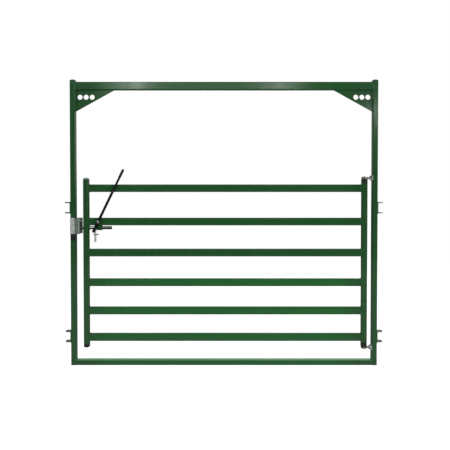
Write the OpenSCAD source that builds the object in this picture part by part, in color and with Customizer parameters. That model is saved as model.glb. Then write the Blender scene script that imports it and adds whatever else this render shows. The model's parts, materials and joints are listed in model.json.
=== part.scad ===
// Bow gate: a six-rail swing gate hung in its own overhead frame, with a lever-thrown slide bolt.
// Millimetres. +X runs from the latch post to the hinge post, +Y away from the lever side, +Z up.
// The origin is the centre of the sill's underside.

/* [Frame] */
// Width over the outer faces of the two posts
frame_w = 3048; // [2400:10:3800]
// Height of the header's top face above the ground
header_top = 2814; // [2400:2:3100]
// Side of the square tube of the posts, the sill and the two stiles
post_side = 50.8; // [45:0.1:60]
// Wall of the square tubes
tube_wall = 3; // [2:0.5:4]
// Outer corner radius of the square tubes
tube_corner = 5; // [4.5:0.5:8]
// Height of the header tube
header_h = 76.2; // [60:0.1:100]
// How far the posts run on above the header
post_rise = 10; // [5:1:60]

/* [Gussets] */
// Length of a gusset plate along the header
gusset_run = 390; // [300:5:500]
// Length of a gusset plate down the post
gusset_drop = 215; // [180:5:300]
// Thickness of the gusset plates
gusset_t = 6; // [4:1:12]
// Diameter of the three holes in each gusset
gusset_hole_d = 50; // [30:1:60]
// Distance from hole to hole in a gusset
gusset_pitch = 60; // [50:1:70]

/* [Gate leaf] */
// Gap between the latch post and the leaf
latch_gap = 76; // [62:1:110]
// Gap between the leaf and the hinge post
hinge_gap = 50; // [40:1:80]
// Height of the lower end of the stiles above the ground
leaf_lift = 190; // [120:5:300]
// Height of an oval rail
rail_h = 76; // [60:1:90]
// Front-to-back depth of an oval rail
rail_d = 44; // [36:1:46]
// Corner radius of the oval rails
rail_corner = 14; // [8:1:18]
// Wall of the oval rails
rail_wall = 2; // [1.5:0.5:3]
// Clear gaps between the rails, from the lowest up
rail_gaps = [190, 207, 221, 234, 256]; // [150:1:320]
// How far the stiles run past the outermost rails
stile_rise = 48; // [30:1:80]

/* [End caps] */
// Height of a cap's straight rim
cap_rim = 6; // [3:1:12]
// Height of a cap's dome above its rim
cap_dome = 12; // [8:1:16]

/* [Hinges] */
// Diameter of the hinge pins and of the eye bolts' shanks
hinge_pin_d = 19; // [16:0.5:25]
// Radial running clearance of the hinge pins in their eyes
hinge_play = 0.075; // [0.05:0.005:0.1]
// Outer diameter of the eyes
eye_d = 56; // [50:1:64]
// Height of the eyes
eye_h = 19; // [16:0.5:25]
// Diameter of the round flanges on the hinge post
flange_d = 68; // [55:1:80]
// Thickness of the round flanges
flange_t = 6; // [4:1:10]
// Thickness of the end plates that carry the hinge pins
end_plate_t = 6; // [4:1:10]
// Gap between an end plate and its eye
eye_gap = 1; // [0.5:0.5:3]

/* [Slide bolt] */
// Diameter of the slide bolt
bolt_d = 32; // [28:1:38]
// Wall of the slide bolt's pipe
bolt_wall = 4; // [3:0.5:6]
// Length of the slide bolt
bolt_len = 295; // [270:5:400]
// Radial play of the slide bolt in its guides
bolt_play = 0.5; // [0.3:0.1:1]
// Gap between the slide bolt and the rail above it
bolt_drop = 8; // [1:0.5:12]
// How far the drawn bolt's tip stands out of the latch stile
bolt_tip = 18; // [8:1:19]
// Length of the guide collar on the latch stile
collar_len = 10; // [8:1:20]
// Wall of the guide collar
collar_wall = 4; // [3:0.5:6]
// Length of the guide block under the second rail
guide_len = 45; // [30:1:60]
// Material of the guide block round its bore
guide_wall = 6; // [5:0.5:10]
// Length of the pull rod below the slide bolt
pull_len = 126; // [100:2:160]
// Diameter of the pull rod
pull_d = 19; // [10:1:22]

/* [Lever] */
// Distance from the latch stile's inner face to the lever's pivot
pivot_inset = 103; // [100:1:150]
// Lean of the lever from upright with the bolt drawn
lever_lean = 25.9; // [15:0.1:35]
// Turn of the lever that shoots the bolt
lever_throw = 22; // [10:1:24]
// Length of the lever above its pivot
lever_up = 577; // [450:5:800]
// Metal left below the slot at the lever's foot
slot_land = 19; // [14:1:40]
// Width of the lever's flat foot bar
lever_bar_w = 26; // [25:1:34]
// Thickness of the lever's flat foot bar
lever_bar_t = 8; // [6:1:12]
// Metal left in front of the blind slot at the lever's foot
slot_skin = 2; // [1:0.5:3]
// Diameter of the lever's round bar
lever_d = 22; // [18:1:26]
// Wall of the sleeve round the lower part of the lever's bar
sleeve_wall = 1.5; // [1:0.1:3]
// Length of the sleeve above the lever's pivot
sleeve_up = 355; // [200:5:400]
// Diameter of the grip
grip_d = 26; // [24:1:32]
// Length of the grip
grip_len = 90; // [70:5:140]
// Diameter of the pin that joins the slide bolt to the lever
drive_pin_d = 8; // [6:1:9]
// Side play of the drive pin in the lever's slot
slot_play = 2.8; // [2.4:0.1:4]
// Gap between the rails' front and the lever's foot bar
lever_stand = 14; // [12:1:24]

/* [Keeper] */
// Height of the keeper plates
keeper_h = 158; // [120:2:220]
// Thickness of the keeper plates
keeper_t = 5; // [4:1:8]
// Width of the keeper plates that lies flat on the post
keeper_seat = 43; // [25:1:50]
// Angle at which the keeper plates flare out from the post
keeper_flare = 12; // [0:1:20]
// Gap between the drawn bolt's tip and the keeper plates
keeper_clear = 7; // [5:0.5:10]
// Diameter of the two bars that tie the keeper plates
tie_d = 12; // [8:1:16]
// Gap between the shot bolt and the tie bar below it
tie_clear = 11; // [8:1:20]

/* [Connector brackets] */
// Height of the middle of the upper brackets
upper_connector_z = 1570; // [1300:5:1900]
// Height of the middle of the lower brackets
lower_connector_z = 285; // [220:5:500]
// Distance between the mid-planes of a bracket's two ears
ear_pitch = 101; // [80:1:140]
// Thickness of an ear
ear_t = 12; // [8:1:16]
// How far the ears stand out of the post
ear_reach = 60; // [52:1:90]
// Front-to-back width of a bracket
ear_w = 50; // [44:1:60]
// Thickness of the strap between the ears
strap_t = 6; // [4:1:10]
// Diameter of the drop-pin holes in the ears
ear_hole_d = 26; // [20:1:30]

/* [Hidden] */
$fn = 64;

// how far a cutter runs on past the faces it cuts
cut = 1;
// radial clearance of a shank in the plate it is bolted or welded through
shank_play = 0.5;

// frame
half_side = post_side / 2;
post_x = frame_w / 2 - half_side;
clear_x = frame_w / 2 - post_side;
post_h = header_top + post_rise;
header_z = header_top - header_h;

// leaf: rails are counted from the top, gaps from the bottom
latch_face = -clear_x + latch_gap;
latch_x = latch_face + half_side;
hinge_x = clear_x - hinge_gap - half_side;
function gap_sum(count) = count == 0 ? 0 : rail_gaps[count - 1] + gap_sum(count - 1);
function rail_z(number) = leaf_lift + stile_rise + rail_h / 2 + (6 - number) * rail_h + gap_sum(6 - number);
stile_h = rail_z(1) + rail_h / 2 + stile_rise - leaf_lift;
stile_top = leaf_lift + stile_h;
rail_x0 = latch_x + half_side;
rail_x1 = hinge_x - half_side;

// hinge eyes: their mid-planes above and below the hinge stile
eye_offset = end_plate_t + eye_gap + max(eye_h, hinge_pin_d) / 2;
top_eye_z = stile_top + eye_offset;
bottom_eye_z = leaf_lift - eye_offset;

// gusset holes: from the post to the first hole, and from the header down
gusset_inset = 45;
gusset_land = 46;

// slide bolt and lever
bolt_z = rail_z(2) - rail_h / 2 - bolt_drop - bolt_d / 2;
bolt_x0 = latch_face - bolt_tip;
pivot_x = rail_x0 + pivot_inset;
pivot_z = rail_z(2);
lever_arm = pivot_z - bolt_z;
drive_x = pivot_x - lever_arm * tan(lever_lean);
bolt_throw = lever_arm * (tan(lever_lean + lever_throw) - tan(lever_lean));
lever_y = -rail_d / 2 - lever_stand - lever_bar_t / 2;
pivot_bolt_d = 12;
pivot_head_af = 19;
pivot_head_h = 8;
boss_d = 30;
face_gap = 0.5;
drive_end_gap = 1;
slot_near = lever_arm / cos(lever_lean) - drive_pin_d / 2 - slot_play;
slot_far = lever_arm / cos(lever_lean + lever_throw) + drive_pin_d / 2 + slot_play;
lever_down = slot_far + slot_land;
foot_top = 70;
bar_top = lever_up - grip_d / 2;
grip_play = 0.2;
sleeve_play = 0.2;
guide_gap = 7;
guide_x = drive_x + drive_pin_d / 2 + guide_gap;
pull_inset = 10;
pull_x = drive_x - pull_inset;
pull_grip_d = 14;
pull_grip_left = 20;
pull_grip_right = 34;
pull_grip_drop = 68;

// keeper: its plates stand out of the post as far as the drawn bolt lets them
keeper_reach = latch_gap - bolt_tip - keeper_clear;
flare_inset = post_side - min(keeper_seat, post_side);
flare_rise = (flare_inset + keeper_reach) * tan(keeper_flare);
tie_inset = 14;
tie_edge_low = 26;
tie_edge_high = 33;
low_tie_z = bolt_z - bolt_d / 2 - tie_clear - tie_d / 2;
keeper_z0 = low_tie_z - tie_edge_low;
tie_z = [low_tie_z, keeper_z0 + keeper_h - tie_edge_high];

// ear hole: centred on the ear's round end
ear_hole_x = ear_reach - ear_w / 2;

// a rectangle with round corners, centred
module rounded_rect(w, h, r) {
    square([w - 2 * r, h], center = true);
    square([w, h - 2 * r], center = true);
    for (x = [-1, 1], y = [-1, 1])
        translate([x * (w / 2 - r), y * (h / 2 - r)]) circle(r);
}

// section of a rectangular tube
module tube_section(w, h, r, wall) {
    difference() {
        rounded_rect(w, h, r);
        rounded_rect(w - 2 * wall, h - 2 * wall, r - wall);
    }
}

// upright square tube standing on z = 0
module upright(length) {
    linear_extrude(length) tube_section(post_side, post_side, tube_corner, tube_wall);
}

// level tube from x0 to x1, centred on z
module level_tube(x0, x1, z, w, h, r, wall) {
    translate([x0, 0, z]) rotate([90, 0, 90]) linear_extrude(x1 - x0) tube_section(w, h, r, wall);
}

// domed end cap on a square tube, its rim standing on z = 0
module dome_cap() {
    // the dome falls to the rim at the cap's corners
    corner = (half_side - tube_corner) * sqrt(2) + tube_corner;
    dome_r = (corner * corner + cap_dome * cap_dome) / (2 * cap_dome);
    intersection() {
        linear_extrude(cap_rim + cap_dome) rounded_rect(post_side, post_side, tube_corner);
        translate([0, 0, cap_rim + cap_dome - dome_r]) sphere(dome_r, $fn = 96);
    }
}

module left_post() {
    color("#24512f") translate([-post_x, 0, 0]) upright(post_h);
}

module right_post() {
    color("#24512f") translate([post_x, 0, 0]) upright(post_h);
}

module header() {
    color("#24512f")
        level_tube(-clear_x, clear_x, header_z + header_h / 2, post_side, header_h, tube_corner, tube_wall);
}

module sill() {
    color("#24512f") level_tube(-clear_x, clear_x, half_side, post_side, post_side, tube_corner, tube_wall);
}

module post_cap(side) {
    color("#2b332e") translate([side * post_x, 0, post_h]) dome_cap();
}

// triangular plate in an upper corner of the frame, with three round holes in a row
module gusset(side) {
    hole_drop = gusset_land + gusset_hole_d / 2;
    color("#24512f")
        scale([side, 1, 1])
        translate([clear_x, gusset_t / 2, header_z])
        rotate([90, 0, 0])
        linear_extrude(gusset_t)
        difference() {
            polygon([[0, 0], [-gusset_run, 0], [0, -gusset_drop]]);
            for (i = [0:2])
                translate([-gusset_inset - i * gusset_pitch, -hole_drop]) circle(d = gusset_hole_d);
        }
}

// two eared plates joined by a strap on a post's outer face, for a drop pin
module connector(side, z) {
    translate([side * frame_w / 2, 0, z])
        rotate([0, 0, side > 0 ? 0 : 180])
        color("#8b8f8a") {
            translate([0, -ear_w / 2, -ear_pitch / 2 + ear_t / 2])
                cube([strap_t, ear_w, ear_pitch - ear_t]);
            for (ear = [-1, 1])
                translate([0, 0, ear * ear_pitch / 2 - ear_t / 2])
                linear_extrude(ear_t)
                difference() {
                    union() {
                        translate([0, -ear_w / 2]) square([ear_hole_x, ear_w]);
                        translate([ear_hole_x, 0]) circle(d = ear_w);
                    }
                    translate([ear_hole_x, 0]) circle(d = ear_hole_d);
                }
        }
}

// plate on the latch post's front (face -1) or back (face 1), flaring away from it toward the leaf
module keeper_plate(face) {
    inner_tip = [-clear_x + keeper_reach, half_side + flare_rise];
    color("#9aa39b")
        translate([0, 0, keeper_z0])
        linear_extrude(keeper_h)
        scale([1, face])
        polygon([
            [-frame_w / 2, half_side],
            [-clear_x - flare_inset, half_side],
            inner_tip,
            inner_tip + keeper_t * [-sin(keeper_flare), cos(keeper_flare)],
            [-clear_x - flare_inset - keeper_t * tan(keeper_flare / 2), half_side + keeper_t],
            [-frame_w / 2, half_side + keeper_t]
        ]);
}

// bars welded between the two keeper plates, above and below the slide bolt's way in
module keeper_ties() {
    root = half_side + flare_inset * tan(keeper_flare);
    mouth = half_side + flare_rise;
    for (z = tie_z)
        color("#a9aeaa")
            intersection() {
                translate([-clear_x + keeper_reach - tie_inset, -mouth, z])
                    rotate([-90, 0, 0]) cylinder(d = tie_d, h = 2 * mouth);
                translate([-clear_x, 0, z - tie_d])
                    linear_extrude(2 * tie_d)
                    polygon([
                        [0, -root], [keeper_reach, -mouth], [keeper_reach, mouth], [0, root]
                    ]);
            }
}

// round flange on the hinge post's inner face, bored for the eye bolt's shank
module hinge_flange(z) {
    color("#a3aba3")
        translate([clear_x - flange_t, 0, z])
        rotate([0, 90, 0])
        difference() {
            cylinder(d = flange_d, h = flange_t);
            translate([0, 0, -cut]) cylinder(r = hinge_pin_d / 2 + shank_play, h = flange_t + 2 * cut);
        }
}

// eye on the hinge axis and its level shank to the post
module hinge_eye(z) {
    color("#7c766c")
        translate([hinge_x, 0, z])
        difference() {
            union() {
                translate([0, 0, -eye_h / 2]) cylinder(d = eye_d, h = eye_h);
                rotate([0, 90, 0]) cylinder(d = hinge_pin_d, h = clear_x - hinge_x);
            }
            translate([0, 0, -eye_h]) cylinder(r = hinge_pin_d / 2 + hinge_play, h = 2 * eye_h);
        }
}

module latch_stile() {
    color("#24512f")
        difference() {
            translate([latch_x, 0, leaf_lift]) upright(stile_h);
            translate([latch_face - cut, 0, bolt_z])
                rotate([0, 90, 0]) cylinder(r = bolt_d / 2 + bolt_play, h = post_side + 2 * cut);
        }
}

module hinge_stile() {
    color("#24512f") translate([hinge_x, 0, leaf_lift]) upright(stile_h);
}

module rail(number) {
    color("#24512f") level_tube(rail_x0, rail_x1, rail_z(number), rail_d, rail_h, rail_corner, rail_wall);
}

module stile_cap_top() {
    color("#5c6b62") translate([latch_x, 0, stile_top]) dome_cap();
}

module stile_cap_bottom() {
    color("#2b332e") translate([latch_x, 0, leaf_lift]) mirror([0, 0, 1]) dome_cap();
}

// plate that closes the hinge stile and the pin that stands on it; base at z = 0
module hinge_pivot() {
    linear_extrude(end_plate_t) rounded_rect(post_side, post_side, tube_corner);
    cylinder(d = hinge_pin_d, h = end_plate_t + eye_gap + eye_h);
}

module hinge_pivot_top() {
    color("#2b332e") translate([hinge_x, 0, stile_top]) hinge_pivot();
}

module hinge_pivot_bottom() {
    color("#2b332e") translate([hinge_x, 0, leaf_lift]) mirror([0, 0, 1]) hinge_pivot();
}

// round collar on the latch stile's inner face, kept clear of the second rail above it
module guide_collar() {
    bore_r = bolt_d / 2 + bolt_play;
    collar_r = bore_r + collar_wall;
    color("#7f9683")
        difference() {
            translate([rail_x0, 0, bolt_z]) rotate([0, 90, 0]) cylinder(r = collar_r, h = collar_len);
            translate([rail_x0 - cut, 0, bolt_z])
                rotate([0, 90, 0]) cylinder(r = bore_r, h = collar_len + 2 * cut);
            translate([rail_x0 - cut, -collar_r, bolt_z + bolt_d / 2 + bolt_drop])
                cube([collar_len + 2 * cut, 2 * collar_r, collar_r]);
        }
}

// block under the second rail, bored for the slide bolt
module guide_block() {
    bore_r = bolt_d / 2 + bolt_play;
    color("#24512f")
        difference() {
            translate([guide_x, -bore_r - guide_wall, bolt_z - bore_r - guide_wall])
                cube([guide_len, 2 * (bore_r + guide_wall), bore_r + guide_wall + bolt_d / 2 + bolt_drop]);
            translate([guide_x - cut, 0, bolt_z])
                rotate([0, 90, 0]) cylinder(r = bore_r, h = guide_len + 2 * cut);
        }
}

// spacer boss on the second rail's front and the pivot bolt through it
module lever_pivot() {
    front = -rail_d / 2;
    boss_h = lever_stand - face_gap;
    reach = lever_stand + lever_bar_t + face_gap;
    color("#b9beb9")
        translate([pivot_x, front, pivot_z])
        rotate([90, 0, 0]) {
            cylinder(d = boss_d, h = boss_h);
            cylinder(d = pivot_bolt_d, h = reach);
            translate([0, 0, reach]) cylinder(d = pivot_head_af / cos(30), h = pivot_head_h, $fn = 6);
        }
}

module slide_bolt() {
    color("#7d8a80")
        translate([bolt_x0, 0, bolt_z])
        rotate([0, 90, 0])
        difference() {
            cylinder(d = bolt_d, h = bolt_len);
            translate([0, 0, -cut]) cylinder(d = bolt_d - 2 * bolt_wall, h = bolt_len + 2 * cut);
        }
}

// pin on the slide bolt's front, into the lever's slot
module drive_pin() {
    color("#b9beb9")
        difference() {
            translate([drive_x, 0, bolt_z])
                rotate([90, 0, 0])
                cylinder(d = drive_pin_d, h = lever_bar_t / 2 - lever_y - slot_skin - drive_end_gap);
            translate([bolt_x0, 0, bolt_z]) rotate([0, 90, 0]) cylinder(d = bolt_d, h = bolt_len);
        }
}

// rod below the slide bolt with a short cross grip
module bolt_pull() {
    color("#9a9ea0")
        difference() {
            union() {
                translate([pull_x, 0, bolt_z - bolt_d / 2 - pull_len]) cylinder(d = pull_d, h = pull_len + bolt_d / 2);
                translate([pull_x - pull_grip_left, 0, bolt_z - pull_grip_drop])
                    rotate([0, 90, 0]) cylinder(d = pull_grip_d, h = pull_grip_left + pull_grip_right);
            }
            translate([bolt_x0, 0, bolt_z]) rotate([0, 90, 0]) cylinder(d = bolt_d, h = bolt_len);
        }
}

// places its children in the lever's own frame: z up along the lever, origin on the pivot
module on_lever() {
    translate([pivot_x, lever_y, pivot_z]) rotate([0, lever_lean, 0]) children();
}

// flat bar with the pivot hole and, cut from the back, a blind slot for the drive pin
module lever_foot() {
    slot_w = drive_pin_d + 2 * slot_play;
    color("#1b1d1b")
        on_lever()
        rotate([90, 0, 0])
        translate([0, 0, -lever_bar_t / 2])
        difference() {
            linear_extrude(lever_bar_t)
                difference() {
                    union() {
                        translate([-lever_bar_w / 2, -lever_down + lever_bar_w / 2])
                            square([lever_bar_w, lever_down + foot_top - lever_bar_w / 2]);
                        translate([0, -lever_down + lever_bar_w / 2]) circle(d = lever_bar_w);
                    }
                    circle(r = pivot_bolt_d / 2 + hinge_play);
                }
            translate([0, 0, -cut])
                linear_extrude(cut + lever_bar_t - slot_skin) {
                    translate([-slot_w / 2, -slot_far + slot_w / 2])
                        square([slot_w, slot_far - slot_near - slot_w]);
                    for (end = [slot_far - slot_w / 2, slot_near + slot_w / 2])
                        translate([0, -end]) circle(d = slot_w);
                }
        }
}

// tube on the foot bar that the round bar stands in
module lever_sleeve() {
    bore_r = lever_d / 2 + sleeve_play;
    color("#1b1d1b")
        on_lever()
        translate([0, 0, foot_top])
        difference() {
            cylinder(r = bore_r + sleeve_wall, h = sleeve_up - foot_top);
            translate([0, 0, -cut]) cylinder(r = bore_r, h = sleeve_up - foot_top + 2 * cut);
        }
}

module lever_bar() {
    color("#1b1d1b") on_lever() translate([0, 0, foot_top]) cylinder(d = lever_d, h = bar_top - foot_top);
}

// sleeve with a round end over the top of the lever's bar
module lever_grip() {
    grip_z = lever_up - grip_len;
    color("#141514")
        on_lever()
        difference() {
            union() {
                translate([0, 0, grip_z]) cylinder(d = grip_d, h = bar_top - grip_z);
                translate([0, 0, bar_top]) sphere(d = grip_d);
            }
            translate([0, 0, grip_z - cut])
                cylinder(r = lever_d / 2 + grip_play, h = bar_top - grip_z + cut);
        }
}

left_post();
right_post();
header();
sill();
post_cap(-1);  // left_post_cap
post_cap(1);  // right_post_cap
gusset(-1);  // left_gusset
gusset(1);  // right_gusset
connector(-1, upper_connector_z);  // connector_upper_left
connector(1, upper_connector_z);  // connector_upper_right
connector(-1, lower_connector_z);  // connector_lower_left
connector(1, lower_connector_z);  // connector_lower_right
keeper_plate(-1);  // keeper_front
keeper_plate(1);  // keeper_back
keeper_ties();
hinge_flange(top_eye_z);  // top_hinge_flange
hinge_eye(top_eye_z);  // top_hinge_eye
hinge_flange(bottom_eye_z);  // bottom_hinge_flange
hinge_eye(bottom_eye_z);  // bottom_hinge_eye
latch_stile();
hinge_stile();
rail(1);  // rail_1
rail(2);  // rail_2
rail(3);  // rail_3
rail(4);  // rail_4
rail(5);  // rail_5
rail(6);  // rail_6
stile_cap_top();
stile_cap_bottom();
hinge_pivot_top();
hinge_pivot_bottom();
guide_collar();
guide_block();
lever_pivot();
slide_bolt();
drive_pin();
bolt_pull();
lever_foot();
lever_sleeve();
lever_bar();
lever_grip();
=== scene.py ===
"""Bow gate: finishes, weld beads, fasteners and studio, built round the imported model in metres.

+X runs from the latch post to the hinge post, +Y away from the lever side, +Z up from the ground.
"""
import json

import bpy
import numpy as np
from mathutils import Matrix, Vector


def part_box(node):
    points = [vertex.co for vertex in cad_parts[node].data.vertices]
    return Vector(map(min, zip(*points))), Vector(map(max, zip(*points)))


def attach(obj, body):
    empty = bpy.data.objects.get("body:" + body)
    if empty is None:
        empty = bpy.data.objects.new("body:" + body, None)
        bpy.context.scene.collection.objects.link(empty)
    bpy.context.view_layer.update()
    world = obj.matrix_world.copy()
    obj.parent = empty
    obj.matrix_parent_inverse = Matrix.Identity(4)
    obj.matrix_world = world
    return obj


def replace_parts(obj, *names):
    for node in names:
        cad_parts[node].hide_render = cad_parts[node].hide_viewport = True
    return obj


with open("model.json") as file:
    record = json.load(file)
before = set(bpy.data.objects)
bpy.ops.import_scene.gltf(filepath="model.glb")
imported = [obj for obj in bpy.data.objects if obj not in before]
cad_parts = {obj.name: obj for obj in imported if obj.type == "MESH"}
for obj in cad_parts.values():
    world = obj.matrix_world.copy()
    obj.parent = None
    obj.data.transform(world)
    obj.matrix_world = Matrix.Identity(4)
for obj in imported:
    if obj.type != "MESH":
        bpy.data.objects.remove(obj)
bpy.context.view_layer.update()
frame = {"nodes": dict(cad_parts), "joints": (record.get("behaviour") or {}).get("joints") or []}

# ---- Posts, header, sill and gussets ------------------------------------------------
# Square steel tube with a deeper tube overhead, welded up and then powder coated as one
# piece. The baked powder gives an even green gloss with a faint orange peel, dusty near the
# ground, with a painted highlight on the sill's top and a few dark spots, two of them painted shade.


def linear(hex_colour):
    """An sRGB hex colour as linear RGBA."""
    srgb = np.array([int(hex_colour[i : i + 2], 16) for i in (1, 3, 5)]) / 255
    rgb = np.where(srgb <= 0.04045, srgb / 12.92, ((srgb + 0.055) / 1.055) ** 2.4)
    return (*rgb.tolist(), 1.0)


def add(tree, kind, sockets=None, **settings):
    """Adds a node. Settings are its own properties; sockets are its inputs, each given a
    value or the output that feeds it."""
    made = tree.nodes.new(kind)
    for key, value in settings.items():
        setattr(made, key, value)
    for key, value in (sockets or {}).items():
        if isinstance(value, bpy.types.NodeSocket):
            tree.links.new(value, made.inputs[key])
        else:
            made.inputs[key].default_value = value
    return made


def start_finish(name):
    """A new material and its empty node tree."""
    made = bpy.data.materials.new(name)
    made.use_nodes = True
    made.node_tree.nodes.clear()
    return made, made.node_tree


def coat(material, *node_names):
    """Gives CAD nodes their finish."""
    for name in node_names:
        for socket in frame["nodes"][name].material_slots:
            socket.material = material


GREEN = linear("#194321")
GREEN_WORN = linear("#1d4b26")
PEEL = 1 / 0.003  # orange peel, one bump each 3 mm
CLOUD = 1 / 0.25  # colour drifts over a hand's breadth

powder_green, tree = start_finish("powder_coated_steel_green")
coords = add(tree, "ShaderNodeTexCoord")
place = coords.outputs["Object"]
drift = add(tree, "ShaderNodeTexNoise", {"Vector": place, "Scale": CLOUD, "Detail": 4.0})
shade = add(tree, "ShaderNodeMix", {"Factor": drift.outputs["Fac"], 6: GREEN, 7: GREEN_WORN},
            data_type="RGBA")

# The upright tubes are a deeper green toward the top, the lower rails a livelier one.
RAIL_FADE = 0.2
xyz = add(tree, "ShaderNodeSeparateXYZ", {"Vector": place})
across = add(tree, "ShaderNodeMath", {0: xyz.outputs["X"]}, operation="ABSOLUTE")
rail_end = -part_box("rail_1")[0].x
on_rails = add(tree, "ShaderNodeMapRange",
               {"Value": across.outputs[0], "From Min": rail_end, "From Max": rail_end - RAIL_FADE})
upright = add(tree, "ShaderNodeMapRange",
              {"Value": on_rails.outputs[0], "To Min": 0.85, "To Max": 0.0})
aloft = add(tree, "ShaderNodeMapRange",
            {"Value": xyz.outputs["Z"], "From Min": 0.9, "From Max": 1.7})
darker = add(tree, "ShaderNodeMath", {0: upright.outputs[0], 1: aloft.outputs[0]},
             operation="MULTIPLY")
deep = add(tree, "ShaderNodeMix",
           {"Factor": darker.outputs[0], 6: shade.outputs[2], 7: linear("#193e1f")},
           data_type="RGBA")
low_rails = add(tree, "ShaderNodeMapRange",
                {"Value": xyz.outputs["Z"], "From Min": 1.0, "From Max": 0.85, "To Max": 0.8})
livelier = add(tree, "ShaderNodeMath", {0: on_rails.outputs[0], 1: low_rails.outputs[0]},
               operation="MULTIPLY")
lush = add(tree, "ShaderNodeMix",
           {"Factor": livelier.outputs[0], 6: deep.outputs[2], 7: linear("#185824")},
           data_type="RGBA")

# Dust is thrown up from the ground.
near_ground = add(tree, "ShaderNodeMapRange",
                  {"Value": xyz.outputs["Z"], "From Min": 0.35, "From Max": 0.0, "To Max": 0.04})
speck = add(tree, "ShaderNodeTexNoise",
            {"Vector": place, "Scale": 1 / 0.02, "Detail": 8.0, "Roughness": 0.7})
film = add(tree, "ShaderNodeMath", {0: near_ground.outputs[0], 1: speck.outputs["Fac"]},
           operation="MULTIPLY")
dusty = add(tree, "ShaderNodeMix",
            {"Factor": film.outputs[0], 6: lush.outputs[2], 7: linear("#7c8a76")},
            data_type="RGBA")

# A patchy painted highlight lightens what looks up and lies no higher than the sill.
SCUFF_FADE = 0.05
looks_up = add(tree, "ShaderNodeSeparateXYZ", {"Vector": coords.outputs["Normal"]})
facing_up = add(tree, "ShaderNodeMapRange",
            {"Value": looks_up.outputs["Z"], "From Min": 0.5, "From Max": 0.95})
sill_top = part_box("sill")[1].z
underfoot = add(tree, "ShaderNodeMapRange",
                {"Value": xyz.outputs["Z"], "From Min": sill_top + SCUFF_FADE, "From Max": sill_top})
low_and_facing_up = add(tree, "ShaderNodeMath", {0: facing_up.outputs[0], 1: underfoot.outputs[0]},
              operation="MULTIPLY")
highlight_patches = add(tree, "ShaderNodeMapRange",
              {"Value": speck.outputs["Fac"], "From Min": 0.3, "From Max": 0.6, "To Min": 0.6})
patches = add(tree, "ShaderNodeMath", {0: low_and_facing_up.outputs[0], 1: highlight_patches.outputs[0]},
            operation="MULTIPLY")
sill_highlighted = add(tree, "ShaderNodeMix",
              {"Factor": patches.outputs[0], 6: dusty.outputs[2], 7: linear("#66a072")},
              data_type="RGBA")

# Dark spots: a painted shadow under the keeper, painted shade on the latch stile's foot and
# a dark spot at each end of the hinge stile. Their edges are ragged, because noise moves each
# point before its distance from a spot's middle is taken.
WOBBLE = 0.012
NOISE_MEAN = WOBBLE / 2  # the noise moves every point this far on average
SPOT, SPOT_EDGE = 0.045, 0.006  # a spot's radius and the width of its soft edge
BELOW_KEEPER = 0.03
wobble = add(tree, "ShaderNodeTexNoise", {"Vector": place, "Scale": 1 / 0.01, "Detail": 5.0})
ragged = add(tree, "ShaderNodeVectorMath", {0: wobble.outputs["Color"], 1: (WOBBLE,) * 3, 2: place},
             operation="MULTIPLY_ADD")
post_low, post_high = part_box("left_post")
stile_low, stile_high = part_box("hinge_stile")
stile_x = (stile_low.x + stile_high.x) / 2
latch_foot_low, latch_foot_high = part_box("stile_cap_bottom")
dark_spot = 0.0
for x, z in (((post_low.x + post_high.x) / 2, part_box("keeper_front")[0].z - BELOW_KEEPER),
             (stile_x, stile_low.z), (stile_x, stile_high.z),
             ((latch_foot_low.x + latch_foot_high.x) / 2, latch_foot_low.z)):
    off = add(tree, "ShaderNodeVectorMath",
              {0: ragged.outputs[0], 1: (x + NOISE_MEAN, NOISE_MEAN, z + NOISE_MEAN)},
              operation="DISTANCE")
    mark = add(tree, "ShaderNodeMapRange",
               {"Value": off.outputs["Value"], "From Min": SPOT + SPOT_EDGE, "From Max": SPOT})
    dark_spot = add(tree, "ShaderNodeMath", {0: dark_spot, 1: mark.outputs[0]},
                operation="MAXIMUM").outputs[0]
spotted = add(tree, "ShaderNodeMix",
              {"Factor": dark_spot, 6: sill_highlighted.outputs[2], 7: linear("#121f15")}, data_type="RGBA")

# The gloss drifts a little, and dust and the dark spots dull it.
gloss = add(tree, "ShaderNodeMapRange", {"Value": drift.outputs["Fac"], "From Min": 0.3, "From Max": 0.7,
                                         "To Min": 0.17, "To Max": 0.24})
worn_gloss = add(tree, "ShaderNodeMath", {0: gloss.outputs[0], 1: film.outputs[0]}, operation="ADD")
dull = add(tree, "ShaderNodeMath", {0: dark_spot, 1: 0.2, 2: worn_gloss.outputs[0]},
           operation="MULTIPLY_ADD")
peel = add(tree, "ShaderNodeTexNoise", {"Vector": place, "Scale": PEEL, "Detail": 1.0})
skin = add(tree, "ShaderNodeBump",
           {"Height": peel.outputs["Fac"], "Strength": 0.12, "Distance": 0.0003})
face = add(tree, "ShaderNodeBsdfPrincipled",
           {"Base Color": spotted.outputs[2], "Roughness": dull.outputs[0], "Normal": skin.outputs[0],
            "Specular IOR Level": 0.28})
add(tree, "ShaderNodeOutputMaterial", {"Surface": face.outputs[0]})
coat(powder_green, "left_post", "right_post", "header", "sill", "left_gusset", "right_gusset")


def resample(step, *runs):
    """Runs of points that belong together, respaced evenly by the first one's arc length."""
    along = np.concatenate([[0], np.cumsum(np.linalg.norm(np.diff(runs[0], axis=0), axis=1))])
    even = np.linspace(0, along[-1], max(4, int(along[-1] / step) + 1))
    return [even] + [np.stack([np.interp(even, along, run[:, k]) for k in range(3)], -1)
                     for run in runs]


def ring_faces(count, around, loop):
    """Quads that join each ring of points to the next, and a flat face on each open end."""
    i, j = np.meshgrid(np.arange(count if loop else count - 1), np.arange(around), indexing="ij")
    i2, j2 = (i + 1) % count, (j + 1) % around
    quads = np.stack([i * around + j, i * around + j2, i2 * around + j2, i2 * around + j], -1)
    last = (count - 1) * around
    ends = [] if loop else [list(range(around))[::-1], list(range(last, last + around))]
    return quads.reshape(-1, 4).tolist() + ends


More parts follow.
